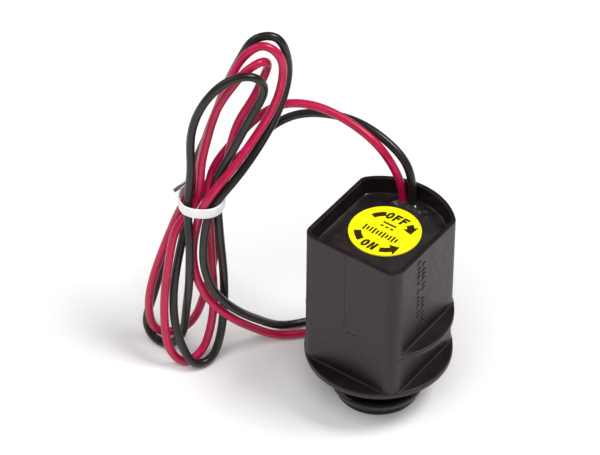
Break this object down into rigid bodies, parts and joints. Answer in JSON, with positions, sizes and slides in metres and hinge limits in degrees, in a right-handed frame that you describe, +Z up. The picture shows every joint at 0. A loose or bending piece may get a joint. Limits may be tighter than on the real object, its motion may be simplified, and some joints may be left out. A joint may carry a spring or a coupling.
{
  "type": "solenoid valve operator",
  "caption": "Latching solenoid for a diaphragm valve: potted coil case on a threaded boss, spring-loaded plunger, and two wire leads tied in a hank.",
  "frame": {"origin": "centre of the screw boss's bottom face, on the boss's axis", "axes": "+Z up along the boss and plunger axis, -Y out of the flat front of the case, +X to the right seen from the front"},
  "size_m": [0.0937, 0.0619, 0.1136],
  "materials": {
    "case_plastic": "satin moulded black glass-filled plastic",
    "potting_resin": "semi-gloss black cast resin",
    "label_film": "yellow printed film",
    "natural_plastic": "natural unpigmented plastic",
    "copper_wire": "enamelled copper wire",
    "coil_tape": "amber insulating tape",
    "plated_steel": "plated magnetic steel",
    "ferrite": "ground ferrite",
    "tinned_copper": "tinned copper",
    "brass": "turned brass",
    "seal_rubber": "matt black rubber",
    "spring_steel": "drawn stainless wire",
    "red_insulation": "satin crimson wire insulation",
    "black_insulation": "satin charcoal wire insulation",
    "tie_plastic": "white plastic-covered tie"
  },
  "bodies": {
    "solenoid": {"case": "case_plastic", "potting_compound": "potting_resin", "label_disc": "label_film", "coil_bobbin": "natural_plastic", "coil_winding": "copper_wire", "winding_tape": "coil_tape", "lower_flux_washer": "plated_steel", "yoke_tube": "plated_steel", "upper_flux_plate": "plated_steel", "fixed_core": "plated_steel", "latching_magnet": "ferrite", "magnet_cap": "plated_steel", "red_terminal": "tinned_copper", "black_terminal": "tinned_copper", "guide_tube": "brass", "base_ring_seal": "seal_rubber", "plunger_spring": "spring_steel", "plunger_retainer": "natural_plastic", "red_lead": "red_insulation", "red_lead_tip": "tinned_copper", "black_lead": "black_insulation", "black_lead_tip": "tinned_copper", "lead_tie": "tie_plastic"},
    "plunger": {"plunger": "plated_steel", "plunger_seal": "seal_rubber"}
  },
  "joints": [
    {"name": "plunger_slide", "type": "slide", "parent": "solenoid", "child": "plunger", "axis": [0, 0, 1], "range_m": [0, 0.0024], "stiffness_N_per_m": 400, "springref_m": -0.003, "deforming": ["plunger_spring"]}
  ]
}
